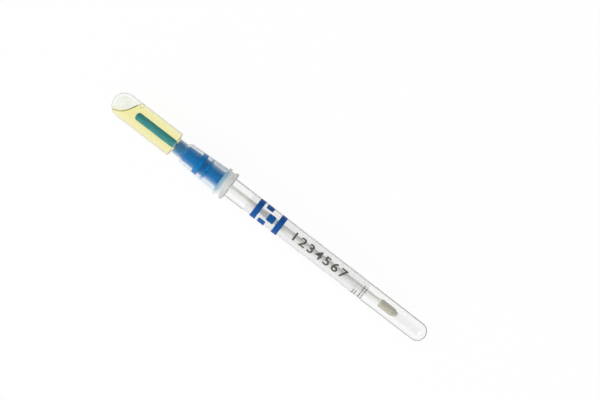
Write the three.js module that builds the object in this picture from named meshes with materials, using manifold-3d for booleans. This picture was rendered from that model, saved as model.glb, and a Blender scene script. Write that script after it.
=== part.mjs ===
// Specimen swab tube: a soft bulb of broth with a snap valve, pushed over the rim of a
// round-bottomed tube that holds the hollow swab shaft and its fibre bud.
// Millimetres, +Z up. The tube lies level along X with the bulb at -X, on the rim of its two
// rings; the origin is under the middle of its length, on the surface that it lies on.

import * as THREE from "three";
import { mergeVertices } from "three/addons/utils/BufferGeometryUtils.js";
import Module from "manifold-3d";

const wasm = await Module();
wasm.setup();

// ---------- Driving sizes ----------

// Facets round every turned piece, wide enough for the two rings to lie steadily on one each,
// and the angle between the points of a rounded corner.
const SIDES = 16;
const ARC_STEP = Math.PI / 12;

// Facets and rings of the ball that shapes the air bubble.
const BUBBLE_SIDES = 48;
const BUBBLE_RINGS = 24;

// Clearances: radial on a push fit, along the axis where faces seat, under the film, and
// between the broth and what holds it.
const FIT_GAP = 0.05;
const SEAT_GAP = 0.3;
const FILM_GAP = 0.03;
const LIQUID_GAP = 0.1;

// Bulb: domed chamber, shoulder, neck, flare and tapering skirt with a bead.
const CHAMBER_RADIUS = 6;
const CHAMBER_WALL = 0.7;
const CHAMBER_LENGTH = 34.8;
const SHOULDER_LENGTH = 0.5;
const SHOULDER_ROUND = 0.3;
const NECK_WALL = 0.95;
const NECK_LENGTH = 4.3;
const NECK_ROUND = 0.4;
const FLARE_LENGTH = 1.5;
const SKIRT_TOP_RADIUS = 5.05;
const SKIRT_WALL = 0.8;
const SKIRT_LENGTH = 23.55;
const LIP_WALL = 0.85;
const BEAD_HEIGHT = 0.8;
const BEAD_WIDTH = 1.4;
const BEAD_ROUND = 0.35;
const BEAD_SETBACK = 1.95;

// Snap valve: break-off stem, weakened neck, nose, ribbed barrel and end flange.
const STEM_RADIUS = 1.33;
const STEM_LENGTH = 22;
const BREAK_RADIUS = 0.6;
const BREAK_BORE_RADIUS = 0.3;
const BREAK_LENGTH = 0.8;
const NOSE_RADIUS = 2.7;
const NOSE_INTO_NECK = 0.3;
const NOSE_PAST_NECK = 0.3;
const NOSE_ROUND = 1.1;
const NOSE_CONE_LENGTH = 1.6;
const BARREL_TOP_RADIUS = 3.8;
const FLANGE_SEAT = 0.55;
const FLANGE_STEP = 0.35;
const FLANGE_THICKNESS = 0.8;
const WIDE_RIB = { start: 6.5, width: 2.6 };
const FINE_RIBS = [
  { start: 9.5, width: 0.3 },
  { start: 10.2, width: 0.3 },
];
const FINE_RIB_HEIGHT = 0.45;
const NARROW_RIB = { start: 11.3, width: 1.1 };
const CHANNEL_RADIUS = 0.8;
const CHANNEL_END_WALL = 1.2;
const SOCKET_DEPTH = 9;

// Air bubble in the broth: a ball of air against the dome, on the +Y side.
const BUBBLE_RADIUS = 12.4;
const BUBBLE_ALONG = 0.8;
const BUBBLE_PAST_BORE = 4.2;

// Swab: hollow shaft and fibre bud.
const SHAFT_RADIUS = 1.35;
const SHAFT_WALL = 0.5;
const BUD_WRAP = 0.65;
const BUD_LENGTH = 9.6;
const BUD_ON_SHAFT = 7.8;
const BUD_NEAR_ROUND = 0.5;
const BUD_TIP_ROUND = 1.5;
const BUD_FROM_BOTTOM = 15.45;

// Tube: rim, collar and body with a round bottom.
const RIM_STEP = 0.65;
const RIM_LENGTH = 3.2;
const RIM_CHAMFER = 0.3;
const COLLAR_THICKNESS = 1.45;
const COLLAR_BEVEL = 0.35;
const BODY_TOP_RADIUS = 4.7;
const BODY_END_RADIUS = 4.45;
const BODY_LENGTH = 111.7;
const TUBE_WALL = 0.85;

// Label: a film wrapped round the tube, with a slit where its ends nearly meet.
const LABEL_FROM_COLLAR = 10.5;
const LABEL_LENGTH = 67.4;
const LABEL_THICKNESS = 0.08;
const LABEL_SLIT = 1.5;

// ---------- Radii that follow from the fits ----------

const bodyBore = BODY_TOP_RADIUS - TUBE_WALL;
const rimRadius = BODY_TOP_RADIUS + RIM_STEP;
const socketRadius = rimRadius + FIT_GAP;
const skirtMouthRadius = socketRadius + LIP_WALL;
// The bead of the bulb and the collar of the tube share one radius.
const ringRadius = skirtMouthRadius + BEAD_HEIGHT;
const flangeRadius = bodyBore + FLANGE_SEAT;
const barrelEndRadius = flangeRadius - FLANGE_STEP;
const chamberBore = CHAMBER_RADIUS - CHAMBER_WALL;
const neckBore = NOSE_RADIUS + FIT_GAP;
const budRadius = SHAFT_RADIUS + BUD_WRAP;

// ---------- Places along the axis, from the tip of the bulb ----------

const neckStart = CHAMBER_LENGTH + SHOULDER_LENGTH;
const neckEnd = neckStart + NECK_LENGTH;
const skirtStart = neckEnd + FLARE_LENGTH;
const skirtEnd = skirtStart + SKIRT_LENGTH;
const collarStart = skirtEnd + SEAT_GAP;
const tubeStart = collarStart - RIM_LENGTH;
const collarEnd = collarStart + COLLAR_THICKNESS;
const tubeLength = RIM_LENGTH + COLLAR_THICKNESS + BODY_LENGTH;
const overallLength = tubeStart + tubeLength;
const noseStart = neckStart + NOSE_INTO_NECK;
const noseEnd = neckEnd + NOSE_PAST_NECK;
const stemTip = noseStart - BREAK_LENGTH - STEM_LENGTH;
const barrelStart = noseEnd + NOSE_CONE_LENGTH;
const valveEnd = tubeStart - SEAT_GAP;
const barrelEnd = valveEnd - FLANGE_THICKNESS;
const budStart = overallLength - TUBE_WALL - BUD_FROM_BOTTOM - BUD_LENGTH;
const shaftStart = valveEnd - SOCKET_DEPTH + SEAT_GAP;
const shaftLength = budStart + BUD_ON_SHAFT - shaftStart;
const labelStart = collarEnd + LABEL_FROM_COLLAR;

// A facet faces the surface below, so the axis is a little lower than the widest radius.
const facetPhase = Math.PI / SIDES;
const axisHeight = Math.max(ringRadius, CHAMBER_RADIUS) * Math.cos(facetPhase);

// ---------- Shaping ----------

// Outline of a turned piece from corners [along the axis, radius, rounding of the corner].
// A rounding never reaches past the corners beside it.
function outline(corners) {
  const points = [];
  const places = corners.map(([along, radius]) => new THREE.Vector2(radius, along));
  corners.forEach(([, , rounding = 0], index) => {
    const corner = places[index];
    if (rounding === 0) {
      points.push(corner);
      return;
    }
    const back = places[index - 1].clone().sub(corner);
    const ahead = places[index + 1].clone().sub(corner);
    const halfAngle = Math.acos(back.clone().normalize().dot(ahead.clone().normalize())) / 2;
    const wanted = rounding / Math.tan(halfAngle);
    const reach = Math.min(wanted, back.length(), ahead.length());
    back.setLength(reach);
    ahead.setLength(reach);
    const middle = back.clone().add(ahead).setLength(reach / Math.cos(halfAngle)).add(corner);
    const sweep = Math.PI - 2 * halfAngle;
    const turn = -Math.sign(back.cross(ahead)) * sweep;
    const steps = Math.ceil(sweep / ARC_STEP);
    const start = corner.clone().add(back);
    for (let step = 0; step <= steps; step += 1) {
      points.push(start.clone().rotateAround(middle, (turn * step) / steps));
    }
  });
  const shortest = 1e-3;
  return points.filter((point, i) => i === 0 || point.distanceTo(points[i - 1]) > shortest);
}

// A solid turned about its own Y axis: up the outside of the outline, down the inside.
function turned(corners) {
  return new THREE.LatheGeometry(outline(corners), SIDES, facetPhase);
}

// Radius of a taper between two ends, at a place along it.
function taper(startRadius, endRadius, length, along) {
  return THREE.MathUtils.lerp(startRadius, endRadius, along / length);
}

// The closed solid of a geometry, for cutting.
function solidOf(geometry) {
  const shape = geometry.clone();
  shape.deleteAttribute("normal");
  shape.deleteAttribute("uv");
  const merged = mergeVertices(shape, 1e-4);
  const mesh = new wasm.Mesh({
    numProp: 3,
    vertProperties: merged.attributes.position.array,
    triVerts: new Uint32Array(merged.index.array),
  });
  return new wasm.Manifold(mesh);
}

// The geometry that is left of a body when a tool is cut from it.
function cut(body, tool) {
  const mesh = solidOf(body).subtract(solidOf(tool)).getMesh();
  const geometry = new THREE.BufferGeometry();
  geometry.setAttribute("position", new THREE.BufferAttribute(mesh.vertProperties, 3));
  geometry.setIndex(new THREE.BufferAttribute(mesh.triVerts, 1));
  geometry.computeVertexNormals();
  return geometry;
}

// A named mesh at its place along the axis.
function piece(name, geometry, material, along) {
  const mesh = new THREE.Mesh(geometry, material);
  mesh.name = name;
  mesh.position.y = along;
  return mesh;
}

// A material of one finish; an opacity below 1 makes it see-through.
function finish(color, roughness, opacity = 1) {
  const transparent = opacity < 1;
  return new THREE.MeshStandardMaterial({ color, roughness, metalness: 0, opacity, transparent });
}

// ---------- Bulb ----------

// Outer radius of the skirt at a distance from the tip of the bulb.
function skirtRadius(along) {
  return taper(SKIRT_TOP_RADIUS, skirtMouthRadius, SKIRT_LENGTH, along - skirtStart);
}

function skirtBore(along) {
  return skirtRadius(along) - SKIRT_WALL;
}

function bulbGeometry() {
  const neckRadius = neckBore + NECK_WALL;
  const beadEnd = skirtEnd - BEAD_SETBACK;
  const beadStart = beadEnd - BEAD_WIDTH;
  const socketStart = tubeStart - SEAT_GAP;
  return turned([
    [0, 0],
    [0, CHAMBER_RADIUS, CHAMBER_RADIUS],
    [CHAMBER_LENGTH, CHAMBER_RADIUS, SHOULDER_ROUND],
    [neckStart, neckRadius, NECK_ROUND],
    [neckEnd, neckRadius, NECK_ROUND],
    [skirtStart, SKIRT_TOP_RADIUS, NECK_ROUND],
    [beadStart, skirtRadius(beadStart)],
    [beadStart, ringRadius, BEAD_ROUND],
    [beadEnd, ringRadius, BEAD_ROUND],
    [beadEnd, skirtRadius(beadEnd)],
    [skirtEnd, skirtMouthRadius],
    [skirtEnd, socketRadius],
    [socketStart, socketRadius],
    [socketStart, skirtBore(socketStart)],
    [skirtStart, skirtBore(skirtStart)],
    [neckEnd, neckBore],
    [neckStart - CHAMBER_WALL, neckBore],
    [CHAMBER_LENGTH - CHAMBER_WALL, chamberBore],
    [CHAMBER_WALL, chamberBore, chamberBore],
    [CHAMBER_WALL, 0],
  ]);
}

// ---------- Snap valve, from the tip of its stem ----------

function valveGeometry() {
  const nose = noseStart - stemTip;
  const barrel = barrelStart - stemTip;
  const flange = barrelEnd - stemTip;
  const end = valveEnd - stemTip;
  const barrelRadius = (along) =>
    taper(BARREL_TOP_RADIUS, barrelEndRadius, flange - barrel, along - barrel);
  // A rib seals against the skirt's bore, which is narrowest at the rib's start.
  const sealRib = ({ start, width }) => {
    const near = barrel + start;
    const radius = skirtBore(near + stemTip) - FIT_GAP;
    return rib(near, width, radius, barrelRadius);
  };
  const fineRib = ({ start, width }) => {
    const near = barrel + start;
    return rib(near, width, barrelRadius(near) + FINE_RIB_HEIGHT, barrelRadius);
  };
  const socketEnd = end - SOCKET_DEPTH;
  const channelEnd = nose + CHANNEL_END_WALL;
  const boreEnd = nose - BREAK_LENGTH / 2;
  const shaftSocket = SHAFT_RADIUS + FIT_GAP;
  return turned([
    [0, 0],
    [0, STEM_RADIUS, STEM_RADIUS],
    [STEM_LENGTH, STEM_RADIUS],
    [STEM_LENGTH, BREAK_RADIUS],
    [nose, BREAK_RADIUS],
    [nose, NOSE_RADIUS, NOSE_ROUND],
    [noseEnd - stemTip, NOSE_RADIUS],
    [barrel, BARREL_TOP_RADIUS],
    ...sealRib(WIDE_RIB),
    ...FINE_RIBS.flatMap(fineRib),
    ...sealRib(NARROW_RIB),
    [flange, barrelEndRadius],
    [flange, flangeRadius],
    [end, flangeRadius],
    [end, shaftSocket],
    [socketEnd, shaftSocket],
    [socketEnd, CHANNEL_RADIUS],
    [channelEnd, CHANNEL_RADIUS],
    [channelEnd, BREAK_BORE_RADIUS],
    [boreEnd, BREAK_BORE_RADIUS],
    [boreEnd, 0],
  ]);
}

// Corners of a square rib on a barrel.
function rib(near, width, radius, rootRadius) {
  const far = near + width;
  return [
    [near, rootRadius(near)],
    [near, radius],
    [far, radius],
    [far, rootRadius(far)],
  ];
}

// ---------- Broth, from the tip of the bulb ----------

function brothGeometry() {
  const fill = chamberBore - LIQUID_GAP;
  const start = CHAMBER_WALL + LIQUID_GAP;
  const shoulder = CHAMBER_LENGTH - CHAMBER_WALL - LIQUID_GAP;
  const end = noseStart - LIQUID_GAP;
  const roundStem = STEM_RADIUS + LIQUID_GAP;
  const liquid = turned([
    [start, 0],
    [start, fill, fill],
    [shoulder, fill],
    [neckStart - CHAMBER_WALL - LIQUID_GAP, neckBore - LIQUID_GAP],
    [end, neckBore - LIQUID_GAP],
    [end, roundStem],
    [stemTip - LIQUID_GAP, roundStem, roundStem],
    [stemTip - LIQUID_GAP, 0],
  ]);
  const air = new THREE.SphereGeometry(BUBBLE_RADIUS, BUBBLE_SIDES, BUBBLE_RINGS);
  // The assembly is turned onto X so that -X here becomes +Y.
  air.translate(-chamberBore - BUBBLE_PAST_BORE, BUBBLE_ALONG, 0);
  return cut(liquid, air);
}

// ---------- Swab ----------

function shaftGeometry() {
  const bore = SHAFT_RADIUS - SHAFT_WALL;
  return turned([
    [0, bore],
    [0, SHAFT_RADIUS],
    [shaftLength, SHAFT_RADIUS],
    [shaftLength, bore],
    [0, bore],
  ]);
}

function budGeometry() {
  const hole = SHAFT_RADIUS + FIT_GAP;
  const holeEnd = BUD_ON_SHAFT + FIT_GAP;
  return turned([
    [holeEnd, 0],
    [holeEnd, hole],
    [0, hole],
    [0, budRadius, BUD_NEAR_ROUND],
    [BUD_LENGTH, budRadius, BUD_TIP_ROUND],
    [BUD_LENGTH, 0],
  ]);
}

// ---------- Tube, from its mouth ----------

function tubeGeometry() {
  const collarFar = RIM_LENGTH + COLLAR_THICKNESS;
  const boreEnd = BODY_END_RADIUS - TUBE_WALL;
  return turned([
    [tubeLength - TUBE_WALL, 0],
    [tubeLength - TUBE_WALL, boreEnd, boreEnd],
    [RIM_CHAMFER, bodyBore],
    [0, bodyBore + RIM_CHAMFER],
    [0, rimRadius - RIM_CHAMFER],
    [RIM_CHAMFER, rimRadius],
    [RIM_LENGTH, rimRadius],
    [RIM_LENGTH, ringRadius - COLLAR_BEVEL],
    [RIM_LENGTH + COLLAR_BEVEL, ringRadius],
    [collarFar, ringRadius],
    [collarFar, BODY_TOP_RADIUS],
    [tubeLength, BODY_END_RADIUS, BODY_END_RADIUS],
    [tubeLength, 0],
  ]);
}

// ---------- Label, from its end at the collar ----------

function labelGeometry() {
  const inside = (along) =>
    taper(BODY_TOP_RADIUS, BODY_END_RADIUS, BODY_LENGTH, LABEL_FROM_COLLAR + along) + FILM_GAP;
  const near = inside(0);
  const far = inside(LABEL_LENGTH);
  const sleeve = turned([
    [0, near],
    [0, near + LABEL_THICKNESS],
    [LABEL_LENGTH, far + LABEL_THICKNESS],
    [LABEL_LENGTH, far],
    [0, near],
  ]);
  const slit = new THREE.BoxGeometry(LABEL_SLIT, 2 * LABEL_LENGTH, CHAMBER_RADIUS);
  slit.translate(0, LABEL_LENGTH / 2, -CHAMBER_RADIUS);
  return cut(sleeve, slit);
}

// ---------- Assembly ----------

const clearPlastic = finish(0xe8ecee, 0.08, 0.3);
const milkyPlastic = finish(0xdfe4ea, 0.35, 0.5);
const bluePlastic = finish(0x005fa5, 0.35);
const yellowBroth = finish(0xf4ec9e, 0.05, 0.7);
const whitePlastic = finish(0xc9c8c2, 0.4);
const woundFibre = finish(0xa7a291, 0.95);
const film = finish(0xf3f3f1, 0.3, 0.4);

// The swab pulls out of the tube as one: what it carries is grouped apart from the tube.
const swab = new THREE.Group();
swab.add(piece("bulb", bulbGeometry(), milkyPlastic, 0));
swab.add(piece("snap_valve", valveGeometry(), bluePlastic, stemTip));
swab.add(piece("broth", brothGeometry(), yellowBroth, 0));
swab.add(piece("swab_shaft", shaftGeometry(), whitePlastic, shaftStart));
swab.add(piece("swab_bud", budGeometry(), woundFibre, budStart));

const vessel = new THREE.Group();
vessel.add(piece("tube", tubeGeometry(), clearPlastic, tubeStart));
vessel.add(piece("label", labelGeometry(), film, labelStart));

// Turned pieces stand along Y: this lays them along X, centred over the origin.
const specimenSwabTube = new THREE.Group();
specimenSwabTube.add(swab, vessel);
specimenSwabTube.rotation.z = -Math.PI / 2;
specimenSwabTube.position.set(-overallLength / 2, 0, axisHeight);

export default specimenSwabTube;
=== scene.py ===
"""The looks of a specimen swab tube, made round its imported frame.

A soft clear bulb of yellow broth holds a blue snap valve, and is pushed over the rim of a
round-bottomed tube with the hollow swab and its fibre bud inside. A printed film is wrapped
round the tube. Sizes are in millimetres, and MM turns them into metres.
"""

import math

import bmesh
import bpy
from mathutils import Matrix, Vector, noise


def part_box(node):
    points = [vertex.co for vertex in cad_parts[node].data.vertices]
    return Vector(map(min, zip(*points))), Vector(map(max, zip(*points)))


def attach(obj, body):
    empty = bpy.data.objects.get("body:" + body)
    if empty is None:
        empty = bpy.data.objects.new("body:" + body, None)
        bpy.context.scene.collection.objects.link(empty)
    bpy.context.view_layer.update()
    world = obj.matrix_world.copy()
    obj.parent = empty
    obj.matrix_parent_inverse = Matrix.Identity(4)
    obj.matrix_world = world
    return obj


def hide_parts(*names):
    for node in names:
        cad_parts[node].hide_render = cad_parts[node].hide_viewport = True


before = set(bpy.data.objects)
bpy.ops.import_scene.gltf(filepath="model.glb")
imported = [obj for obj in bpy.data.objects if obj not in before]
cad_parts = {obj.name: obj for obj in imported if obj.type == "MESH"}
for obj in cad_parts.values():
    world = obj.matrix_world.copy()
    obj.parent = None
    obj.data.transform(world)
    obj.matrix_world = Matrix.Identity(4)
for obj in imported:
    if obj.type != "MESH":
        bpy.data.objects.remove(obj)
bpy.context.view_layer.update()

MM = 0.001
SWAB, TUBE = "swab", "tube"

# ---------- Places from the frame ----------

# The axis runs along X. A station is a distance in millimetres from the tip of the bulb.
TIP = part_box("bulb")[0].x
AXIS_Z = (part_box("tube")[0].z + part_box("tube")[1].z) / 2


def stations(node):
    """The first and last station of a CAD node."""
    low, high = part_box(node)
    return (low.x - TIP) / MM, (high.x - TIP) / MM


LIP_END = stations("bulb")[1]
STEM_TIP, VALVE_END = stations("snap_valve")
SHAFT_START, SHAFT_END = stations("swab_shaft")
BUD_START, BUD_END = stations("swab_bud")
TUBE_MOUTH, TUBE_END = stations("tube")
LABEL_START, LABEL_END = stations("label")

# ---------- Sizes in millimetres, as the CAD has them ----------

CHAMBER_RADIUS = 6.0
CHAMBER_WALL = 0.7
CHAMBER_END = 34.8
NECK_START = 35.3
NECK_END = 39.6
NECK_RADIUS = 3.7
NECK_BORE = 2.75
SKIRT_START = 41.1
SKIRT_RADII = 5.05, 6.25
SKIRT_WALL = 0.8
SOCKET_START = 61.45
SOCKET_RADIUS = 5.4
BEAD = 61.3, 62.7
RING_RADIUS = 7.05

STEM_RADIUS = 1.33
STEM_END = 34.8
# The weakened neck, where the stem snaps off and opens the bore behind it.
BREAK_RADIUS = 0.6
BREAK_BORE = 0.3
NOSE = 35.6, 39.9
NOSE_RADIUS = 2.7
BARREL = 41.5, 60.65
BARREL_RADII = 3.8, 4.05
FLANGE_RADIUS = 4.4
WIDE_RIB = 48.0, 50.6
NARROW_RIB = 52.8, 53.9
FINE_RIBS = (51.0, 51.3), (51.7, 52.0)
FINE_RIB_HEIGHT = 0.45
# The valve's end wall behind the break, the flow channel after it, and the shaft's socket.
END_WALL = 1.2
CHANNEL_RADIUS = 0.8
VALVE_SOCKET_DEPTH = 9.0

SHAFT_RADIUS = 1.35
SHAFT_BORE = 0.85
# Radius of the holes that hold the shaft, in the valve and in the bud.
SHAFT_HOLE = SHAFT_RADIUS + 0.05
BUD_RADIUS = 2.0
BUD_SOCKET_DEPTH = 7.85

RIM_RADIUS = 5.35
COLLAR = 64.95, 66.4
BODY_RADII = 4.7, 4.45
TUBE_WALL = 0.85

# Bubbles of air in the broth. Each is a rounded outline turned about its own line along X: the
# station of its middle, the line's distance from the tube's axis towards +Y, the radius of the
# rounding, and how far the rounding's centre stands off the line. The large one lies under the
# dome, blunter at its end than the CAD's plain ball. The small one is a ball on the wall beside it.
AIR = (2.6, 9.5, 8.8, 3.5), (12.4, 3.65, 1.05, 0.0)

# Facets round a turned piece, and the turn between two points of a rounded corner.
TURN_STEPS = 128
CURVE_STEP = math.radians(6)
# Faces that meet at more than this keep a sharp edge.
SHARP = math.radians(32)
# Points of a turned piece that are closer than this are one, in metres.
SAME_POINT = 1e-7


def taper(ends, radii, along):
    """Radius at a station of a straight taper between two ends."""
    share = (along - ends[0]) / (ends[1] - ends[0])
    return radii[0] + (radii[1] - radii[0]) * share


def skirt_radius(along):
    return taper((SKIRT_START, LIP_END), SKIRT_RADII, along)


def skirt_bore(along):
    return skirt_radius(along) - SKIRT_WALL


def barrel_radius(along):
    return taper(BARREL, BARREL_RADII, along)


def body_radius(along):
    return taper((COLLAR[1], TUBE_END), BODY_RADII, along)


# ---------- Shaping ----------


def round_off(bm, corners, setback, segments):
    """Rounds corners of a flat outline, from this far before each to as far after it."""
    bmesh.ops.bevel(
        bm,
        geom=corners,
        offset=setback,
        offset_type="OFFSET",
        segments=segments,
        profile=0.5,
        affect="VERTICES",
        material=-1,
    )


def turned(corners, steps=TURN_STEPS):
    """A closed solid turned about the tube's axis.

    A corner is (station, radius) or (station, radius, rounding). The outline runs from pole to
    pole, or comes back to its first corner.
    """
    ring = corners[0][:2] == corners[-1][:2]
    if ring:
        corners = corners[:-1]
    spots = [Vector((TIP + along * MM, 0, AXIS_Z + radius * MM)) for along, radius, *_ in corners]
    bm = bmesh.new()
    verts = [bm.verts.new(spot) for spot in spots]
    following = verts[1:] + verts[:1] if ring else verts[1:]
    for vert, after in zip(verts, following):
        bm.edges.new((vert, after))
    for index, corner in enumerate(corners):
        if len(corner) == 3:
            back = spots[index - 1] - spots[index]
            ahead = spots[(index + 1) % len(spots)] - spots[index]
            turn = math.pi - back.angle(ahead)
            setback = min(corner[2] * MM * math.tan(turn / 2), back.length, ahead.length)
            round_off(bm, [verts[index]], setback, math.ceil(turn / CURVE_STEP))
    bmesh.ops.spin(
        bm,
        geom=bm.verts[:] + bm.edges[:],
        cent=(0, 0, AXIS_Z),
        axis=(1, 0, 0),
        dvec=(0, 0, 0),
        angle=math.tau,
        steps=steps,
        use_merge=True,
    )
    bmesh.ops.remove_doubles(bm, verts=bm.verts, dist=SAME_POINT)
    bmesh.ops.recalc_face_normals(bm, faces=bm.faces)
    return bm


def paint(bm, choose):
    """Sets each face's material slot by its station and its distance from the axis."""
    for face in bm.faces:
        centre = face.calc_center_median()
        radius = math.hypot(centre.y, centre.z - AXIS_Z) / MM
        face.material_index = choose((centre.x - TIP) / MM, radius)


def smooth(mesh):
    """Smooth shading, with sharp edges kept."""
    mesh.shade_smooth()
    mesh.set_sharp_from_angle(angle=SHARP)


def mesh_of(name, bm, materials):
    """A smooth mesh that holds these materials in this order."""
    mesh = bpy.data.meshes.new(name)
    bm.to_mesh(mesh)
    bm.free()
    for material in materials:
        mesh.materials.append(material)
    smooth(mesh)
    return mesh


def place(name, data):
    """An object at the origin that holds this mesh, text, lamp or camera."""
    thing = bpy.data.objects.new(name, data)
    bpy.context.scene.collection.objects.link(thing)
    return thing


def finished_mesh(thing):
    """The mesh that an object's modifiers or its text make."""
    depsgraph = bpy.context.evaluated_depsgraph_get()
    return bpy.data.meshes.new_from_object(thing.evaluated_get(depsgraph))


def assemble(piece, body, slot, *nodes):
    """The piece rides on its body and stands for its CAD nodes."""
    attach(piece, body)
    if nodes:
        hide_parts(*nodes)


# ---------- Materials ----------


def linear(code):
    """Linear colour of an sRGB hex value."""
    parts = [int(code[i : i + 2], 16) / 255 for i in (0, 2, 4)]
    return [c / 12.92 if c <= 0.04045 else ((c + 0.055) / 1.055) ** 2.4 for c in parts] + [1.0]


def add(tree, kind, inputs=None, stops=None, **settings):
    """One node with its settings, and its inputs set to values or linked to sockets.

    The stops of a colour ramp are (place, hex code or grey level).
    """
    node = tree.nodes.new(kind)
    for name, value in settings.items():
        setattr(node, name, value)
    for name, value in (inputs or {}).items():
        if isinstance(value, bpy.types.NodeSocket):
            tree.links.new(value, node.inputs[name])
        else:
            node.inputs[name].default_value = value
    if stops:
        elements = node.color_ramp.elements
        elements.remove(elements[1])
        for index, (position, colour) in enumerate(stops):
            element = elements.new(position) if index else elements[0]
            element.position = position
            element.color = linear(colour) if isinstance(colour, str) else [colour] * 3 + [1]
    return node


def empty_material(name):
    """A node material with only its output."""
    material = bpy.data.materials.new(name)
    material.use_nodes = True
    tree = material.node_tree
    tree.nodes.clear()
    return material, tree, tree.nodes.new("ShaderNodeOutputMaterial")


def along_axis(tree, start, end):
    """From 0 to 1 between two stations."""
    spot = add(tree, "ShaderNodeTexCoord").outputs["Object"]
    x = add(tree, "ShaderNodeSeparateXYZ", {"Vector": spot}).outputs["X"]
    share = add(
        tree,
        "ShaderNodeMapRange",
        {"Value": x, "From Min": TIP + start * MM, "From Max": TIP + end * MM},
    )
    return share.outputs["Result"]


def lets_light_in(tree, glass, tint):
    """Glass for what is seen through it, and plain clear for the light that falls through it."""
    path = add(tree, "ShaderNodeLightPath").outputs
    lit = add(
        tree,
        "ShaderNodeMath",
        {0: path["Is Shadow Ray"], 1: path["Is Diffuse Ray"]},
        operation="MAXIMUM",
    )
    clear = add(tree, "ShaderNodeBsdfTransparent", {"Color": linear(tint)})
    mix = add(
        tree,
        "ShaderNodeMixShader",
        {0: lit.outputs[0], 1: glass, 2: clear.outputs[0]},
    )
    return mix.outputs[0]


def veiled(tree, shader, colour, stops, gain=1.0):
    """The shader under a matt veil, whose share follows how much the view slants off the face."""
    slant = add(
        tree,
        "ShaderNodeMath",
        {0: add(tree, "ShaderNodeLayerWeight", {"Blend": 0.5}).outputs["Facing"], 1: gain},
        operation="MULTIPLY",
    )
    share = add(tree, "ShaderNodeValToRGB", {"Fac": slant.outputs[0]}, stops)
    veil = add(tree, "ShaderNodeBsdfDiffuse", {"Color": colour})
    mix = add(
        tree,
        "ShaderNodeMixShader",
        {0: share.outputs["Color"], 1: shader, 2: veil.outputs[0]},
    )
    return mix.outputs[0]


def in_air(tree, bubbles=AIR):
    """1 inside and on these bubbles of air in the broth, 0 elsewhere."""
    # What lies on a bubble counts as in it.
    skin = 0.02
    spot = add(tree, "ShaderNodeTexCoord").outputs["Object"]
    found = 0.0
    for along, aside, radius, spread in bubbles:
        middle = (TIP + along * MM, aside * MM, AXIS_Z)
        away = add(tree, "ShaderNodeVectorMath", {0: spot, 1: middle}, operation="SUBTRACT")
        part = add(tree, "ShaderNodeSeparateXYZ", {"Vector": away.outputs[0]}).outputs
        across = add(tree, "ShaderNodeCombineXYZ", {"X": part["Y"], "Y": part["Z"]})
        off_line = add(tree, "ShaderNodeVectorMath", {0: across.outputs[0]}, operation="LENGTH")
        off_ring = add(
            tree,
            "ShaderNodeMath",
            {0: off_line.outputs["Value"], 1: spread * MM},
            operation="SUBTRACT",
        )
        ring = add(tree, "ShaderNodeCombineXYZ", {"X": part["X"], "Y": off_ring.outputs[0]})
        distance = add(tree, "ShaderNodeVectorMath", {0: ring.outputs[0]}, operation="LENGTH")
        near = add(
            tree,
            "ShaderNodeMath",
            {0: distance.outputs["Value"], 1: (radius + skin) * MM},
            operation="LESS_THAN",
        )
        either = add(
            tree,
            "ShaderNodeMath",
            {0: near.outputs[0], 1: found},
            operation="MAXIMUM",
        )
        found = either.outputs[0]
    return found


# The broth and the wall of the bulb share one index, so light bends only at their faces to
# the air, as it does where a liquid wets a wall of nearly its own index.
WET_IOR = 1.45
STYRENE_IOR = 1.59
POLYPROPYLENE_IOR = 1.49

# Sizes of what each surface shows, in millimetres: waves of flow in the soft plastic, grain off
# the mould, streaks of the extruder, turns and clumps of fibre, and thin spots in the ink. Real
# grain, streaks and spots are under 0.1 mm, and are drawn coarser than that so that they show.
FLOW_WAVE = 2.5
MOULD_GRAIN = 0.4
EXTRUDER_STREAK = 0.3
FIBRE_TURN = 0.9
FIBRE_CLUMP = 0.8
INK_SPOT = 0.25

# Colour of the light that falls through a clear wall.
CLEAR_LIGHT = "F7F8F7"

# Share of the veil by slant, from 0 face on to 1 edge on. On the clear walls it is painted shade at
# the outline, for the dark surroundings that a wall shows edge on and its longer slanting path
# there; on a hazy wall it is haze, from where its inside stops being seen squarely.
CLEAR_OUTLINE_SHADE = (0.55, 0.0), (0.85, 0.75)
HAZY_VEIL = (0.05, 0.0), (0.15, 0.04), (0.3, 0.22), (0.52, 0.6), (0.85, 0.85)
TUBE_OUTLINE_SHADE = (0.1, 0.0), (0.3, 0.08), (0.5, 0.12), (0.72, 0.95)

# Stations where the skirt's haze is strongest, where the painted blue light of the flange has faded
# from the rings in front of it, and between which the painted shade of the large bubble's line
# turns from pale to dark.
HAZE_FULL = 55.0
FLANGE_LIGHT_END = 63.3
LINE_SHADE_DEEPENS = 6.0, 10.5


def clear_ldpe(name, tint, clearest, haziest, haze=None, veil=None, farther=1.0):
    """Moulded low-density polyethylene: soft and clear, hazy where its skin is rougher.

    Its veil has the given colour: haze on the hazy finishes, and painted shade at the outline on
    the clear one. Past the narrow rib, where the gap between the wall and the barrel widens, it
    grows this many times stronger.
    """
    material, tree, out = empty_material(name)
    spot = add(tree, "ShaderNodeTexCoord").outputs["Object"]
    flow = add(
        tree,
        "ShaderNodeTexNoise",
        {"Vector": spot, "Scale": 1 / (FLOW_WAVE * MM), "Detail": 3.0},
    )
    rough = add(
        tree,
        "ShaderNodeMapRange",
        {"Value": flow.outputs["Fac"], "To Min": clearest, "To Max": haziest},
    )
    glass = add(
        tree,
        "ShaderNodeBsdfPrincipled",
        {
            "Base Color": linear(tint),
            "Roughness": rough.outputs["Result"],
            "IOR": WET_IOR,
            "Transmission Weight": 1.0,
        },
    )
    wall = glass.outputs[0]
    if veil:
        widening = along_axis(tree, NARROW_RIB[1], HAZE_FULL)
        gain = add(
            tree,
            "ShaderNodeMapRange",
            {"Value": widening, "To Min": 1.0, "To Max": farther},
        )
        wall = veiled(tree, wall, linear(haze), veil, gain.outputs["Result"])
    tree.links.new(lets_light_in(tree, wall, CLEAR_LIGHT), out.inputs["Surface"])
    return material


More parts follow.
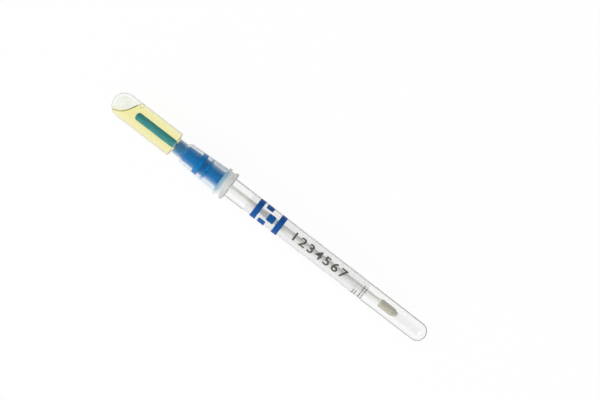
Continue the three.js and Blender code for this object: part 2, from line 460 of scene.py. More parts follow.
def milky_ldpe():
    """The same plastic in its thickest rings: cloudy, with the blue light of the flange behind it
    painted into its colour by the bead.
    """
    material, tree, out = empty_material("thick_milky_ldpe")
    glass = add(
        tree,
        "ShaderNodeBsdfPrincipled",
        {
            "Base Color": linear("F2F5F6"),
            "Roughness": 0.5,
            "IOR": WET_IOR,
            "Transmission Weight": 1.0,
        },
    )
    # Painted light: the ring's colour turns from the flange's blue light at the bead to its own
    # pale white.
    flange_light_share = along_axis(tree, BEAD[0], FLANGE_LIGHT_END)
    tint = add(tree, "ShaderNodeValToRGB", {"Fac": flange_light_share}, [(0.5, "92C8E8"), (1.0, "F6F9F9")])
    tone = tint.outputs["Color"]
    cloud = add(tree, "ShaderNodeBsdfDiffuse", {"Color": tone})
    glow = add(tree, "ShaderNodeBsdfTranslucent", {"Color": tone})
    inside = add(tree, "ShaderNodeMixShader", {0: 0.45, 1: cloud.outputs[0], 2: glow.outputs[0]})
    mix = add(tree, "ShaderNodeMixShader", {0: 0.5, 1: glass.outputs[0], 2: inside.outputs[0]})
    ring = veiled(tree, mix.outputs[0], linear("E2E2DE"), [(0.25, 0.0), (0.6, 0.85)])
    tree.links.new(lets_light_in(tree, ring, "F0F3F3"), out.inputs["Surface"])
    return material


def wetted_ldpe():
    """The same wall where the broth or the valve wets it: only its dry spots, at the air, show."""
    material, tree, out = empty_material("wetted_ldpe_bore")
    glass = add(
        tree,
        "ShaderNodeBsdfPrincipled",
        {
            "Base Color": linear("FAFDF8"),
            "Roughness": 0.02,
            "IOR": WET_IOR,
            "Transmission Weight": 1.0,
        },
    )
    dry = lets_light_in(tree, glass.outputs[0], CLEAR_LIGHT)
    clear = add(tree, "ShaderNodeBsdfTransparent")
    mix = add(tree, "ShaderNodeMixShader", {0: in_air(tree), 1: clear.outputs[0], 2: dry})
    tree.links.new(mix.outputs[0], out.inputs["Surface"])
    return material


def yellow_broth():
    """Clear yellow growth broth: it takes the blue out of the light that crosses it.

    It has the wall's own index, so it shows only at the air, where a line of painted shade stands
    in for the dark edge that its bent light makes as its face turns edge on: narrow along the large
    bubble, and soft round the small one.
    """
    material, tree, out = empty_material("clear_yellow_broth")
    clear = add(tree, "ShaderNodeBsdfTransparent").outputs[0]
    # Painted shade: the line along the large bubble darkens from pale to olive between these
    # stations, and the small bubble gets a soft dark ring.
    darker = along_axis(tree, *LINE_SHADE_DEEPENS)
    line = add(tree, "ShaderNodeValToRGB", {"Fac": darker}, [(0.0, "C8C39C"), (1.0, "504C1C")])
    meniscus = veiled(tree, clear, line.outputs["Color"], [(0.7, 0.0), (0.84, 0.9)])
    ring = veiled(tree, clear, linear("8C8650"), [(0.3, 0.0), (0.8, 0.6)])
    glass = add(
        tree,
        "ShaderNodeBsdfPrincipled",
        {
            "Base Color": linear("FFFFFF"),
            "Roughness": 0.0,
            "IOR": WET_IOR,
            "Transmission Weight": 1.0,
        },
    )
    drawn = add(tree, "ShaderNodeMixShader", {0: in_air(tree, AIR[1:]), 1: meniscus, 2: ring})
    face = add(tree, "ShaderNodeMixShader", {0: 0.04, 1: drawn.outputs[0], 2: glass.outputs[0]})
    mix = add(
        tree,
        "ShaderNodeMixShader",
        {0: in_air(tree), 1: clear, 2: lets_light_in(tree, face.outputs[0], "FFFFFF")},
    )
    tree.links.new(mix.outputs[0], out.inputs["Surface"])
    body = add(
        tree,
        "ShaderNodeVolumeAbsorption",
        {"Color": linear("FBF000"), "Density": 74.0},
    )
    tree.links.new(body.outputs[0], out.inputs["Volume"])
    return material


def blue_polypropylene():
    """Moulded polypropylene dyed blue: waxy, paler in the thin stem as a painted glow of the light
    that gets into it, and greyer round the break and the nose.
    """
    material, tree, out = empty_material("moulded_blue_polypropylene")
    # Painted light: the thin stem is paler, for the light that gets into it; the colour greys round
    # the break and the nose, then turns to the barrel's blue.
    tone = add(
        tree,
        "ShaderNodeValToRGB",
        {"Fac": along_axis(tree, STEM_TIP, NOSE[1])},
        [(0.0, "3D8CB4"), (0.8, "3D8CB4"), (0.84, "487598"), (0.94, "3B7099"), (1.0, "006EAF")],
    )
    spot = add(tree, "ShaderNodeTexCoord").outputs["Object"]
    grain = add(
        tree,
        "ShaderNodeTexNoise",
        {"Vector": spot, "Scale": 1 / (MOULD_GRAIN * MM), "Detail": 4.0},
    )
    rough = add(
        tree,
        "ShaderNodeMapRange",
        {"Value": grain.outputs["Fac"], "To Min": 0.28, "To Max": 0.42},
    )
    bump = add(
        tree,
        "ShaderNodeBump",
        {"Height": grain.outputs["Fac"], "Strength": 0.15, "Distance": 0.02 * MM},
    )
    plastic = add(
        tree,
        "ShaderNodeBsdfPrincipled",
        {
            "Base Color": tone.outputs["Color"],
            "Roughness": rough.outputs["Result"],
            "IOR": POLYPROPYLENE_IOR,
            "Specular IOR Level": 0.08,
            "Normal": bump.outputs[0],
        },
    )
    tree.links.new(plastic.outputs[0], out.inputs["Surface"])
    return material


def white_polystyrene():
    """Extruded white polystyrene straw: smooth and satin, with faint streaks along its length."""
    material, tree, out = empty_material("extruded_white_polystyrene")
    spot = add(tree, "ShaderNodeTexCoord").outputs["Object"]
    drawn_out = add(tree, "ShaderNodeMapping", {"Vector": spot, "Scale": (0.05, 1.0, 1.0)})
    streaks = add(
        tree,
        "ShaderNodeTexNoise",
        {"Vector": drawn_out.outputs[0], "Scale": 1 / (EXTRUDER_STREAK * MM), "Detail": 3.0},
    )
    tone = add(
        tree,
        "ShaderNodeValToRGB",
        {"Fac": streaks.outputs["Fac"]},
        [(0.3, "E8E8E3"), (0.7, "F2F2EE")],
    )
    plastic = add(
        tree,
        "ShaderNodeBsdfPrincipled",
        {"Base Color": tone.outputs["Color"], "Roughness": 0.35, "IOR": STYRENE_IOR},
    )
    tree.links.new(plastic.outputs[0], out.inputs["Surface"])
    return material


def wound_fibre():
    """Viscose fibre wound into a bud: matt, with a soft sheen, with painted shade between its turns
    and a tone that differs at random between clumps.
    """
    material, tree, out = empty_material("wound_viscose_fibre")
    spot = add(tree, "ShaderNodeTexCoord").outputs["Object"]
    lay = add(tree, "ShaderNodeMapping", {"Vector": spot, "Rotation": (0, 0, math.radians(14))})
    strands = add(
        tree,
        "ShaderNodeTexWave",
        {
            "Vector": lay.outputs[0],
            "Scale": 1 / (FIBRE_TURN * MM),
            "Distortion": 5.0,
            "Detail": 3.0,
            "Detail Scale": 2.0,
        },
        wave_type="BANDS",
        bands_direction="X",
    )
    clumps = add(
        tree,
        "ShaderNodeTexNoise",
        {"Vector": spot, "Scale": 1 / (FIBRE_CLUMP * MM), "Detail": 5.0},
    )
    both = add(
        tree,
        "ShaderNodeMath",
        {0: strands.outputs["Fac"], 1: clumps.outputs["Fac"]},
        operation="MULTIPLY",
    )
    # Painted shade: darker between the turns of the lay; the clumps vary the tone at random.
    tone = add(
        tree,
        "ShaderNodeValToRGB",
        {"Fac": both.outputs[0]},
        [(0.05, "ABA696"), (0.5, "D6D1C3")],
    )
    bump = add(
        tree,
        "ShaderNodeBump",
        {"Height": both.outputs[0], "Strength": 0.6, "Distance": 0.08 * MM},
    )
    fibre = add(
        tree,
        "ShaderNodeBsdfPrincipled",
        {
            "Base Color": tone.outputs["Color"],
            "Roughness": 0.9,
            "Sheen Weight": 0.3,
            "Sheen Roughness": 0.5,
            "Normal": bump.outputs[0],
        },
    )
    tree.links.new(fibre.outputs[0], out.inputs["Surface"])
    return material


def clear_polystyrene(name, veil=None):
    """Moulded general-purpose polystyrene: hard, bright and as clear as glass where polished."""
    material, tree, out = empty_material(name)
    glass = add(
        tree,
        "ShaderNodeBsdfPrincipled",
        {
            "Base Color": linear("FFFFFF"),
            "Roughness": 0.015,
            "IOR": STYRENE_IOR,
            "Transmission Weight": 1.0,
        },
    )
    wall = glass.outputs[0]
    if veil:
        # Painted shade: the grey veil darkens the outline for the dark surroundings that the wall
        # shows edge on, and for the longer slanting path through it.
        wall = veiled(tree, wall, linear("9C9C9A"), veil)
    tree.links.new(lets_light_in(tree, wall, CLEAR_LIGHT), out.inputs["Surface"])
    return material


def matt_polystyrene():
    """The same plastic off a sparked mould: frosted, so that it hides what is inside."""
    material, tree, out = empty_material("frosted_moulded_polystyrene")
    glass = add(
        tree,
        "ShaderNodeBsdfPrincipled",
        {
            "Base Color": linear("F6F6F4"),
            "Roughness": 0.6,
            "IOR": STYRENE_IOR,
            "Transmission Weight": 1.0,
        },
    )
    frost = add(tree, "ShaderNodeBsdfDiffuse", {"Color": linear("DCDCDA")})
    mix = add(tree, "ShaderNodeMixShader", {0: 0.4, 1: glass.outputs[0], 2: frost.outputs[0]})
    tree.links.new(lets_light_in(tree, mix.outputs[0], "F0F0EE"), out.inputs["Surface"])
    return material


def clear_film():
    """Clear polyester label film: a thin sheet, hazy where it is seen at a slant."""
    material, tree, out = empty_material("clear_polyester_film")
    clear = add(tree, "ShaderNodeBsdfTransparent", {"Color": linear("FDFDFD")})
    haze = veiled(tree, clear.outputs[0], linear("F4F4F3"), [(0.5, 0.0), (0.75, 0.7)])
    gloss = add(tree, "ShaderNodeBsdfGlossy", {"Roughness": 0.2})
    mix = add(tree, "ShaderNodeMixShader", {0: 0.02, 1: haze, 2: gloss.outputs[0]})
    tree.links.new(mix.outputs[0], out.inputs["Surface"])
    return material


def ink(name, code):
    """Flexographic ink on film: flat and a little satin, glossier in tiny thin spots."""
    material, tree, out = empty_material(name)
    spot = add(tree, "ShaderNodeTexCoord").outputs["Object"]
    spots = add(
        tree,
        "ShaderNodeTexNoise",
        {"Vector": spot, "Scale": 1 / (INK_SPOT * MM), "Detail": 3.0},
    )
    rough = add(
        tree,
        "ShaderNodeMapRange",
        {"Value": spots.outputs["Fac"], "To Min": 0.35, "To Max": 0.55},
    )
    layer = add(
        tree,
        "ShaderNodeBsdfPrincipled",
        {
            "Base Color": linear(code),
            "Roughness": rough.outputs["Result"],
            "Specular IOR Level": 0.2,
        },
    )
    tree.links.new(layer.outputs[0], out.inputs["Surface"])
    return material


# ---------- Bulb ----------


def make_bulb():
    """Chamber, neck and skirt in one wall, with a finish for each stretch of it."""
    bore = CHAMBER_RADIUS - CHAMBER_WALL
    beads = [(BEAD[0], RING_RADIUS, 0.35), (BEAD[1], RING_RADIUS, 0.35)]
    contacts = NARROW_RIB[1], NARROW_RIB[0], WIDE_RIB[1], WIDE_RIB[0]
    bm = turned(
        [
            (0, 0),
            (0, CHAMBER_RADIUS, CHAMBER_RADIUS),
            (CHAMBER_END, CHAMBER_RADIUS, 0.3),
            (NECK_START, NECK_RADIUS, 0.4),
            (NECK_END, NECK_RADIUS, 0.5),
            (SKIRT_START, SKIRT_RADII[0], 1.0),
            *[(along, skirt_radius(along)) for along in reversed(contacts)],
            (BEAD[0], skirt_radius(BEAD[0]), 0.2),
            *beads,
            (BEAD[1], skirt_radius(BEAD[1]), 0.15),
            (LIP_END, SKIRT_RADII[1], 0.2),
            (LIP_END, SOCKET_RADIUS, 0.15),
            (SOCKET_START, SOCKET_RADIUS, 0.1),
            (SOCKET_START, skirt_bore(SOCKET_START), 0.1),
            *[(along, skirt_bore(along)) for along in contacts],
            (SKIRT_START, skirt_bore(SKIRT_START), 0.6),
            (NECK_END, NECK_BORE, 0.1),
            (NECK_START - CHAMBER_WALL, NECK_BORE, 0.1),
            (CHAMBER_END - CHAMBER_WALL, bore, 0.4),
            (CHAMBER_WALL, bore, bore),
            (CHAMBER_WALL, 0),
        ]
    )
    clear, bore_wet, skirt, skirt_inside, rings = range(5)
    # The haze runs on over the neck's rounded corner, and stops before the fillet at the bead.
    corner, fillet = 0.15, 0.25

    def kind(along, radius):
        if along > SOCKET_START:
            return rings
        if along > SKIRT_START:
            inside = radius < skirt_radius(along) - SKIRT_WALL / 2
            if along > BEAD[0] - fillet and not inside:
                return clear
            wide, narrow = (start < along < end for start, end in (WIDE_RIB, NARROW_RIB))
            if inside:
                return bore_wet if wide or narrow else skirt_inside
            return clear if wide else skirt
        shoulder = taper((CHAMBER_END, NECK_START), (CHAMBER_RADIUS, NECK_RADIUS), along)
        outer = min(CHAMBER_RADIUS, max(NECK_RADIUS, shoulder))
        from_centre = math.hypot(min(along - CHAMBER_RADIUS, 0), radius)
        if from_centre < outer - CHAMBER_WALL / 2:
            return bore_wet if along < NECK_END else skirt_inside
        return skirt if NECK_START < along < NECK_END + corner else clear

    paint(bm, kind)
    finishes = [
        # The clear finish's veil colour is painted shade at its outline; the hazy finish's veil
        # colour is haze.
        clear_ldpe("moulded_clear_ldpe", "FCFDF9", 0.02, 0.07, "C9C8C0", CLEAR_OUTLINE_SHADE),
        wetted_ldpe(),
        clear_ldpe("moulded_hazy_ldpe", "FAFCFC", 0.08, 0.16, "C8D2DA", HAZY_VEIL, 1.9),
        clear_ldpe("moulded_hazy_ldpe_bore", "FAFCFC", 0.08, 0.16),
        milky_ldpe(),
    ]
    piece = place("bulb_shell", mesh_of("bulb_shell", bm, finishes))
    assemble(piece, SWAB, "bulb_plastic", "bulb")


# ---------- Broth ----------


def make_broth():
    """The liquid that fills the chamber round the stem, with its bubbles cut out of it."""
    # Keeps the liquid's faces just off the wall's and the stem's.
    gap = 0.02
    fill = CHAMBER_RADIUS - CHAMBER_WALL - gap
    start = CHAMBER_WALL + gap
    shoulder = CHAMBER_END - CHAMBER_WALL - gap
    throat = NECK_BORE - gap
    hole = STEM_RADIUS - gap
    liquid = turned(
        [
            (start, 0),
            (start, fill, fill),
            (shoulder, fill, 0.4),
            (NECK_START - CHAMBER_WALL, throat),
            (NOSE[0] - gap, throat),
            (NOSE[0] - gap, hole),
            (STEM_TIP + gap, hole, hole),
            (STEM_TIP + gap, 0),
        ]
    )
    material = yellow_broth()
    piece = place("broth_fill", mesh_of("broth_fill", liquid, [material]))
    cutters = []
    for along, aside, radius, spread in AIR:
        air = turned(
            [
                (along - radius, 0),
                (along - radius, spread + radius, radius),
                (along + radius, spread + radius, radius),
                (along + radius, 0),
            ]
        )
        bmesh.ops.translate(air, verts=air.verts, vec=(0, aside * MM, 0))
        cutters.append(place("air", mesh_of("air", air, [material])))
        cut = piece.modifiers.new("air", "BOOLEAN")
        cut.operation = "DIFFERENCE"
        cut.solver = "EXACT"
        cut.object = cutters[-1]
    cut_mesh = finished_mesh(piece)
    piece.modifiers.clear()
    piece.data = cut_mesh
    smooth(cut_mesh)
    for cutter in cutters:
        bpy.data.objects.remove(cutter)
    assemble(piece, SWAB, "broth_liquid", "broth")


# ---------- Snap valve ----------


def rib(near, far, near_radius, far_radius):
    """Corners of a rib with eased edges on the barrel."""
    ease = 0.08
    return [
        (near, barrel_radius(near), ease),
        (near, near_radius, ease),
        (far, far_radius, ease),
        (far, barrel_radius(far), ease),
    ]


def make_valve():
    """Stem, weakened neck, nose, ribbed barrel and flange, with the bore that the stem shuts."""
    # The sealing ribs stop this far short of the wall.
    fit = 0.03
    corners = [
        (STEM_TIP, 0),
        (STEM_TIP, STEM_RADIUS, STEM_RADIUS),
        (STEM_END, STEM_RADIUS, 0.15),
        (STEM_END, BREAK_RADIUS, 0.1),
        (NOSE[0], BREAK_RADIUS, 0.1),
        (NOSE[0], NOSE_RADIUS, 1.1),
        (NOSE[1], NOSE_RADIUS, 0.4),
        (BARREL[0], BARREL_RADII[0], 0.5),
    ]
    corners += rib(*WIDE_RIB, *[skirt_bore(along) - fit for along in WIDE_RIB])
    for near, far in FINE_RIBS:
        crest = barrel_radius(near) + FINE_RIB_HEIGHT
        corners += rib(near, far, crest, crest)
    corners += rib(*NARROW_RIB, *[skirt_bore(along) - fit for along in NARROW_RIB])
    corners += [
        (BARREL[1], BARREL_RADII[1], 0.1),
        (BARREL[1], FLANGE_RADIUS, 0.12),
        (VALVE_END, FLANGE_RADIUS, 0.12),
        (VALVE_END, SHAFT_HOLE, 0.2),
        (VALVE_END - VALVE_SOCKET_DEPTH, SHAFT_HOLE),
        (VALVE_END - VALVE_SOCKET_DEPTH, CHANNEL_RADIUS),
        (NOSE[0] + END_WALL, CHANNEL_RADIUS),
        (NOSE[0] + END_WALL, BREAK_BORE),
        (NOSE[0] - BREAK_BORE, BREAK_BORE),
        (NOSE[0] - BREAK_BORE, 0),
    ]
    bm = turned(corners)
    piece = place("snap_valve_body", mesh_of("snap_valve_body", bm, [blue_polypropylene()]))
    assemble(piece, SWAB, "valve_plastic", "snap_valve")


# ---------- Swab ----------


def make_shaft():
    """A straight straw with eased ends."""
    ease = 0.1
    bm = turned(
        [
            (SHAFT_START, SHAFT_BORE, ease),
            (SHAFT_START, SHAFT_RADIUS, ease),
            (SHAFT_END, SHAFT_RADIUS, ease),
            (SHAFT_END, SHAFT_BORE, ease),
            (SHAFT_START, SHAFT_BORE, ease),
        ],
        steps=64,
    )
    piece = place("swab_shaft_straw", mesh_of("swab_shaft_straw", bm, [white_polystyrene()]))
    assemble(piece, SWAB, "shaft_plastic", "swab_shaft")


# The lay of the bud's fibre: one turn of its two strands, and how far lay and fluff stand out.
LAY_PITCH = 0.7
LAY_HEIGHT = 0.035
FLUFF_HEIGHT = 0.07
FLUFF_SIZE = 0.9


def make_bud():
    """The wound bud: its own mesh is dense enough for the lay of the fibre to show in it."""
    rows = 64
    socket_end = BUD_START + BUD_SOCKET_DEPTH
    near_round, tip_length = 0.6, 2.6
    straight = BUD_START + near_round, BUD_END - tip_length
    step = (straight[1] - straight[0]) / rows
    corners = [
        (socket_end, 0),
        (socket_end, SHAFT_HOLE),
        (BUD_START, SHAFT_HOLE),
        (BUD_START, BUD_RADIUS, near_round),
    ]
    corners += [(straight[0] + step * row, BUD_RADIUS) for row in range(1, rows)]
    corners += [(straight[1], BUD_RADIUS, 2.0), (BUD_END, 1.1, 0.9), (BUD_END, 0)]
    bm = turned(corners, steps=144)
    # The walls of the hole stay as they are.
    clearance = 0.05
    for vert in bm.verts:
        along = (vert.co.x - TIP) / MM
        out = Vector((0, vert.co.y, vert.co.z - AXIS_Z))
        if out.length / MM > SHAFT_HOLE + clearance or along > socket_end + 2 * clearance:
            angle = math.atan2(out.y, out.z)
            lay = math.sin(math.tau * along / LAY_PITCH + 2 * angle)
            fluff = noise.fractal(vert.co / (FLUFF_SIZE * MM), 0.8, 2.0, 4)
            swell = LAY_HEIGHT * lay + FLUFF_HEIGHT * fluff
            vert.co += vert.normal * swell * MM
    piece = place("swab_bud_fibre", mesh_of("swab_bud_fibre", bm, [wound_fibre()]))
    assemble(piece, SWAB, "bud_fibre", "swab_bud")


# ---------- Tube ----------


def make_tube():
    """A round-ended tube with a chamfered mouth and a collar below it."""
    bore = BODY_RADII[0] - TUBE_WALL, BODY_RADII[1] - TUBE_WALL
    chamfer = 0.3
    bm = turned(
        [
            (TUBE_END - TUBE_WALL, 0),
            (TUBE_END - TUBE_WALL, bore[1], bore[1]),
            (TUBE_MOUTH + chamfer, bore[0], 0.2),
            (TUBE_MOUTH, bore[0] + chamfer, 0.1),
            (TUBE_MOUTH, RIM_RADIUS - chamfer, 0.1),
            (TUBE_MOUTH + chamfer, RIM_RADIUS, 0.2),
            (COLLAR[0], RIM_RADIUS, 0.1),
            (COLLAR[0], RING_RADIUS, 0.3),
            (COLLAR[1], RING_RADIUS, 0.2),
            (COLLAR[1], BODY_RADII[0], 0.25),
            (TUBE_END, BODY_RADII[1], BODY_RADII[1]),
            (TUBE_END, 0),
        ]
    )
    outside, collar, inside = range(3)
    round_end = TUBE_END - BODY_RADII[1]

    def kind(along, radius):
        if along < COLLAR[1] and radius > BODY_RADII[0]:
            return collar
        from_axis = math.hypot(max(along - round_end, 0), radius)
        return outside if from_axis > body_radius(along) - TUBE_WALL / 2 else inside

    paint(bm, kind)
    finishes = [
        clear_polystyrene("moulded_clear_polystyrene", TUBE_OUTLINE_SHADE),
        matt_polystyrene(),
        clear_polystyrene("moulded_clear_polystyrene_bore"),
    ]
    piece = place("tube_vessel", mesh_of("tube_vessel", bm, finishes))
    assemble(piece, TUBE, "tube_plastic", "tube")


# ---------- Label ----------

FILM_GAP = 0.03
FILM_THICKNESS = 0.08
FILM_SLIT = 1.5


def film_top(along):
    """Outer radius of the film at a station."""
    return body_radius(along) + FILM_GAP + FILM_THICKNESS


def make_label():
    """The film: a strip spun from one side of the slit to the other."""
    bm = bmesh.new()
    inner = [(LABEL_START, -FILM_THICKNESS), (LABEL_END, -FILM_THICKNESS)]
    outer = [(LABEL_END, 0), (LABEL_START, 0)]
    verts = [
        bm.verts.new((TIP + along * MM, 0, AXIS_Z - (film_top(along) + lift) * MM))
        for along, lift in inner + outer
    ]
    face = bm.faces.new(verts)
    half_slit = FILM_SLIT / 2 / body_radius(LABEL_START)
    bmesh.ops.rotate(
        bm, verts=verts, cent=(0, 0, AXIS_Z), matrix=Matrix.Rotation(half_slit, 3, "X")
    )
    bmesh.ops.spin(
        bm,
        geom=[face, *face.edges, *face.verts],
        cent=(0, 0, AXIS_Z),
        axis=(1, 0, 0),
        dvec=(0, 0, 0),
        angle=math.tau - 2 * half_slit,
        steps=TURN_STEPS,
    )
    bmesh.ops.recalc_face_normals(bm, faces=bm.faces)
    piece = place("label_film", mesh_of("label_film", bm, [clear_film()]))
    assemble(piece, TUBE, "label_film", "label")


INK_THICKNESS = 0.02
INK_LIFT = 0.01

# Places of the print: stations along the label, and millimetres round it from its top.
PRINT_REACH = math.radians(84) * film_top(LABEL_START)
BANDS = (81.0, 83.9), (93.2, 96.1)
BAND_CORNER = 0.2
CORNER_STEPS = 6
BLOCK_ROWS = 3
BLOCK_START = 85.2
BLOCK_SHIFT = 3.0
BLOCK_LENGTH = 3.7
BLOCK_GAP = 0.5
NUMBERS_CORNER = 103.0, -1.9
NUMBERS_SIZE = 29.7, 4.4
# Each row of dashes: its station, and where round the label it starts and ends.
DASH_ROWS = (138.7, -5.6, -2.6), (142.1, -5.4, 1.8)
DASH_WIDTH = 0.6
DASH_GAP = 0.4


def wrap(bm):
    """Bends flat print onto the film: X is the station, Y the way round, from the top to +Y."""
    # Width of the strips that follow the film's curve.
    strip = 0.35
    low = min(vert.co.y for vert in bm.verts)
    high = max(vert.co.y for vert in bm.verts)
    for cut in range(1, math.ceil((high - low) / strip)):
        bmesh.ops.bisect_plane(
            bm,
            geom=bm.verts[:] + bm.edges[:] + bm.faces[:],
            plane_co=(0, low + cut * strip, 0),
            plane_no=(0, 1, 0),
        )
    for vert in bm.verts:
        along, round_way, lift = vert.co
        radius = film_top(along) + INK_LIFT
        angle = round_way / radius
        radius += lift
        vert.co = Vector(
            (
                TIP + along * MM,
                radius * math.sin(angle) * MM,
                AXIS_Z + radius * math.cos(angle) * MM,
            )
        )


def print_on_label(name, flat, material):
    """A printed piece from flat faces, given the thickness of ink and wrapped on the film."""
    grown = bmesh.ops.extrude_face_region(flat, geom=flat.faces[:])
    raised = [item for item in grown["geom"] if isinstance(item, bmesh.types.BMVert)]
    bmesh.ops.translate(flat, verts=raised, vec=(0, 0, INK_THICKNESS))
    wrap(flat)
    bmesh.ops.recalc_face_normals(flat, faces=flat.faces)
    piece = place(name, mesh_of(name, flat, [material]))
    assemble(piece, TUBE, "label_film")


def block(bm, start, end, low, high, corner=0.0):
    """A flat block of ink, with its corners rounded by this much."""
    spots = (start, low), (end, low), (end, high), (start, high)
    verts = [bm.verts.new((along, round_way, 0)) for along, round_way in spots]
    bm.faces.new(verts)
    if corner:
        round_off(bm, verts, corner, CORNER_STEPS)


def make_blue_print():
    """Two bands with a row of blocks between them."""
    bm = bmesh.new()
    for start, end in BANDS:
        block(bm, start, end, -PRINT_REACH, PRINT_REACH, BAND_CORNER)
    tall = 2 * PRINT_REACH / BLOCK_ROWS
    for row in range(BLOCK_ROWS):
        low = -PRINT_REACH + row * tall
        start = BLOCK_START + (row % 2) * BLOCK_SHIFT
        block(bm, start, start + BLOCK_LENGTH, low + BLOCK_GAP, low + tall - BLOCK_GAP, BLOCK_GAP)
    print_on_label("label_print_blue", bm, ink("blue_flexographic_ink", "004A8E"))


def make_numbers():
    """Plain numbers, in the dark grey ink of small print."""
    data = bpy.data.curves.new("numbers", "FONT")
    data.body = "1 2 3 4 5 6 7"
    data.size = 5.6
    data.space_word = 0.5
    # Makes the strokes bold.
    data.offset = 0.1
    text = place("numbers", data)
    bpy.context.view_layer.update()
    mesh = finished_mesh(text)
    bpy.data.objects.remove(text)
    bm = bmesh.new()
    bm.from_mesh(mesh)
    bmesh.ops.remove_doubles(bm, verts=bm.verts, dist=SAME_POINT / MM)
    low = Vector([min(vert.co[i] for vert in bm.verts) for i in range(2)] + [0])
    high = Vector([max(vert.co[i] for vert in bm.verts) for i in range(2)] + [0])
    length, height = NUMBERS_SIZE
    bmesh.ops.scale(
        bm,
        verts=bm.verts,
        vec=(length / (high.x - low.x), height / (high.y - low.y), 1),
        space=Matrix.Translation(-low),
    )
    bmesh.ops.translate(bm, verts=bm.verts, vec=Vector((*NUMBERS_CORNER, 0)) - low)
    print_on_label("label_print_numbers", bm, ink("grey_flexographic_ink", "55524D"))


def make_marks():
    """Two short double rows of small dashes across the tube, where small print would stand."""
    long_dash, short_dash = 0.9, 0.5
    second_row, indent = 1.3, 0.2
    bm = bmesh.new()
    for start, low, high in DASH_ROWS:
        spot = low
        count = 0
        while spot < high:
            end = spot + (long_dash if count % 3 else short_dash)
            block(bm, start, start + DASH_WIDTH, spot, end)
            block(bm, start + second_row, start + second_row + DASH_WIDTH, spot + indent, end)
            spot = end + DASH_GAP
            count += 1
    print_on_label("label_print_marks", bm, ink("grey_marking_ink", "5C5852"))


make_bulb()
make_broth()
make_valve()
make_shaft()
make_bud()
make_tube()
make_label()
make_blue_print()
make_numbers()
make_marks()

# ---------- Stage ----------

# Radius of the floor in metres, and how much of it is plain white to the eye and in the gloss.
FLOOR_RADIUS = 3.0
FLOOR_WHITE = 0.9


def make_floor():
    """A pale matt sheet just under the rings, which shows white and keeps the soft shadow."""
    bm = bmesh.new()
    bmesh.ops.create_circle(bm, cap_ends=True, segments=64, radius=FLOOR_RADIUS)
    height = AXIS_Z - RING_RADIUS * MM
    bmesh.ops.translate(bm, verts=bm.verts, vec=(0, 0, height))
    material, tree, out = empty_material("pale_matt_sheet")
    path = add(tree, "ShaderNodeLightPath").outputs
    direct = add(
        tree,
        "ShaderNodeMath",
        {0: path["Is Camera Ray"], 1: path["Is Transmission Ray"]},
        operation="MAXIMUM",
    )
    seen = add(
        tree,
        "ShaderNodeMath",
        {0: direct.outputs[0], 1: path["Is Glossy Ray"]},
        operation="MAXIMUM",
    )
    share = add(
        tree,
        "ShaderNodeMath",
        {0: seen.outputs[0], 1: FLOOR_WHITE},
        operation="MULTIPLY",
    )
    matt = add(tree, "ShaderNodeBsdfDiffuse", {"Color": linear("F4F4F4")})
    white = add(tree, "ShaderNodeEmission", {"Color": linear("FFFFFF"), "Strength": 1.0})
    mix = add(
        tree,
        "ShaderNodeMixShader",
        {0: share.outputs[0], 1: matt.outputs[0], 2: white.outputs[0]},
    )
    tree.links.new(mix.outputs[0], out.inputs["Surface"])
    floor = place("floor", mesh_of("floor", bm, [material]))


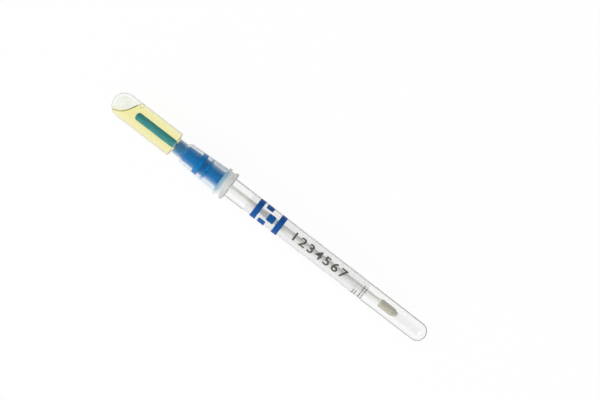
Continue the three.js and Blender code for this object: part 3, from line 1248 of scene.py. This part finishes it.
def make_world():
    """A light tent: bright low down on the key's side, and dark overhead.

    It is plain white to the camera, and through clear plastic nearly white except overhead.
    """
    world = bpy.data.worlds.new("light_tent")
    bpy.context.scene.world = world
    world.use_nodes = True
    tree = world.node_tree
    tree.nodes.clear()
    out = tree.nodes.new("ShaderNodeOutputWorld")
    way = add(tree, "ShaderNodeTexCoord").outputs["Generated"]
    part = add(tree, "ShaderNodeSeparateXYZ", {"Vector": way}).outputs
    side = add(tree, "ShaderNodeValToRGB", {"Fac": part["Y"]}, [(0.0, 0.9), (1.0, 0.25)])
    height_stops = [(0.0, 1.0), (0.5, 0.7), (0.8, 0.08)]
    dim = add(tree, "ShaderNodeValToRGB", {"Fac": part["Z"]}, height_stops)
    tent = add(tree, "ShaderNodeMix", {"Factor": 1.0}, data_type="RGBA", blend_type="MULTIPLY")
    tree.links.new(side.outputs["Color"], tent.inputs["A"])
    tree.links.new(dim.outputs["Color"], tent.inputs["B"])
    lit = add(tree, "ShaderNodeBackground", {"Color": tent.outputs["Result"], "Strength": 1.0})
    white = add(tree, "ShaderNodeBackground", {"Color": linear("FFFFFF"), "Strength": 1.0})
    path = add(tree, "ShaderNodeLightPath").outputs
    clear_stops = [(0.2, 0.85), (0.5, 0.5), (1.0, 0.2)]
    white_share = add(tree, "ShaderNodeValToRGB", {"Fac": part["Z"]}, clear_stops)
    through = add(
        tree,
        "ShaderNodeMath",
        {0: path["Is Transmission Ray"], 1: white_share.outputs["Color"]},
        operation="MULTIPLY",
    )
    seen = add(
        tree,
        "ShaderNodeMath",
        {0: path["Is Camera Ray"], 1: through.outputs[0]},
        operation="MAXIMUM",
    )
    mix = add(
        tree,
        "ShaderNodeMixShader",
        {0: seen.outputs[0], 1: lit.outputs[0], 2: white.outputs[0]},
    )
    tree.links.new(mix.outputs[0], out.inputs["Surface"])


def make_lamp(name, spot, size, power, mirrored=True):
    """A soft box that faces the middle of the tube, and may show in gloss and through glass.

    Its place and size are in metres, and its power is in watts.
    """
    data = bpy.data.lights.new(name, "AREA")
    data.shape = "RECTANGLE"
    data.size, data.size_y = size
    data.energy = power
    lamp = place(name, data)
    lamp.location = spot
    lamp.rotation_euler = (-Vector(spot)).to_track_quat("-Z", "Y").to_euler()
    lamp.visible_glossy = mirrored
    lamp.visible_transmission = mirrored


# What the camera's view spans across at the height of the tube's axis, the tube's slope in it,
# and how far to the right of the tube's middle and above it the view's centre is.
VIEW_SPAN = 272.5
SLOPE = math.radians(37.6)
VIEW_CENTRE = 13.8, 7.95
LENS = 120.0


def make_camera():
    """A long lens that looks straight down on the tube."""
    data = bpy.data.cameras.new("camera")
    data.lens = LENS
    right = Vector((math.cos(SLOPE), math.sin(SLOPE), 0))
    up = Vector((-math.sin(SLOPE), math.cos(SLOPE), 0))
    aim = right * VIEW_CENTRE[0] * MM + up * VIEW_CENTRE[1] * MM
    camera = place("camera", data)
    camera.location = aim + Vector((0, 0, AXIS_Z + LENS / data.sensor_width * VIEW_SPAN * MM))
    camera.rotation_euler = (0, 0, SLOPE)
    bpy.context.scene.camera = camera


make_floor()
make_world()
make_lamp("key_softbox", (-0.1, -0.8, 0.5), (1.3, 0.8), 6.0, mirrored=False)
make_lamp("bulb_end_softbox", (-0.7, 0.0, 0.8), (0.7, 0.7), 1.5)
make_lamp("tube_end_softbox", (0.7, 0.0, 0.8), (0.7, 0.7), 1.5)
make_lamp("overhead_softbox", (0.0, 0.2, 1.0), (0.8, 0.8), 5.0, mirrored=False)
make_camera()

scene = bpy.context.scene
scene.view_settings.view_transform = "Standard"
scene.cycles.max_bounces = 32
scene.cycles.transmission_bounces = 32
scene.cycles.transparent_max_bounces = 48
scene.cycles.glossy_bounces = 6
